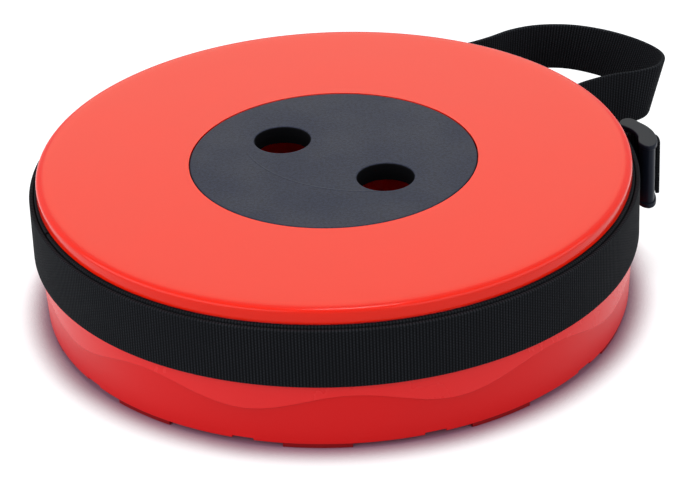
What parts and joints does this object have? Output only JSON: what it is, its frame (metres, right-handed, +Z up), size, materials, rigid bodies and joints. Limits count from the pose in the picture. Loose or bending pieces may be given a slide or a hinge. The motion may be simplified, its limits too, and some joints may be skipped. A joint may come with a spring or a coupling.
{
  "type": "telescopic stool",
  "caption": "Round folding stool: nested rings slide up out of a flat base and carry a disc seat, with a webbing carry strap.",
  "frame": {"origin": "on the stool's axis, at the floor that the feet stand on", "axes": "+Z up along the telescoping axis; -Y is the front, which the picture looks at; +X is its right"},
  "size_m": [0.2746, 0.2721, 0.064],
  "materials": {
    "red_plastic": "smooth moulded, satin gloss",
    "grey_plastic": "fine moulded texture",
    "black_plastic": "moulded, slightly worn where it slides",
    "webbing": "ribbed woven webbing",
    "buckle_plastic": "smooth moulded",
    "steel": "zinc plated"
  },
  "bodies": {
    "base": {"base_shell": "red_plastic", "bottom_plate": "red_plastic", "bottom_screws": "steel", "foot_pads": "red_plastic", "webbing_inner_lap": "webbing", "webbing_outer_lap": "webbing", "carry_strap": "webbing", "buckle_frame": "buckle_plastic"},
    "ring_09": {"ring_09": "black_plastic"},
    "ring_08": {"ring_08": "black_plastic"},
    "ring_07": {"ring_07": "black_plastic"},
    "ring_06": {"ring_06": "black_plastic"},
    "ring_05": {"ring_05": "black_plastic"},
    "ring_04": {"ring_04": "black_plastic"},
    "ring_03": {"ring_03": "black_plastic"},
    "ring_02": {"ring_02": "black_plastic"},
    "ring_01": {"ring_01": "black_plastic"},
    "seat": {"seat_ring": "red_plastic", "centre_cap": "grey_plastic", "hub_plate": "black_plastic", "inner_tube": "black_plastic", "seat_screws": "steel"}
  },
  "joints": [
    {"name": "ring_09_slide", "type": "slide", "parent": "base", "child": "ring_09", "axis": [0, 0, 1], "range_m": [0, 0.038]},
    {"name": "ring_08_slide", "type": "slide", "parent": "ring_09", "child": "ring_08", "axis": [0, 0, 1], "range_m": [0, 0.038]},
    {"name": "ring_07_slide", "type": "slide", "parent": "ring_08", "child": "ring_07", "axis": [0, 0, 1], "range_m": [0, 0.038]},
    {"name": "ring_06_slide", "type": "slide", "parent": "ring_07", "child": "ring_06", "axis": [0, 0, 1], "range_m": [0, 0.038]},
    {"name": "ring_05_slide", "type": "slide", "parent": "ring_06", "child": "ring_05", "axis": [0, 0, 1], "range_m": [0, 0.038]},
    {"name": "ring_04_slide", "type": "slide", "parent": "ring_05", "child": "ring_04", "axis": [0, 0, 1], "range_m": [0, 0.038]},
    {"name": "ring_03_slide", "type": "slide", "parent": "ring_04", "child": "ring_03", "axis": [0, 0, 1], "range_m": [0, 0.038]},
    {"name": "ring_02_slide", "type": "slide", "parent": "ring_03", "child": "ring_02", "axis": [0, 0, 1], "range_m": [0, 0.038]},
    {"name": "ring_01_slide", "type": "slide", "parent": "ring_02", "child": "ring_01", "axis": [0, 0, 1], "range_m": [0, 0.038]},
    {"name": "seat_slide", "type": "slide", "parent": "ring_01", "child": "seat", "axis": [0, 0, 1], "range_m": [0, 0.038]}
  ]
}
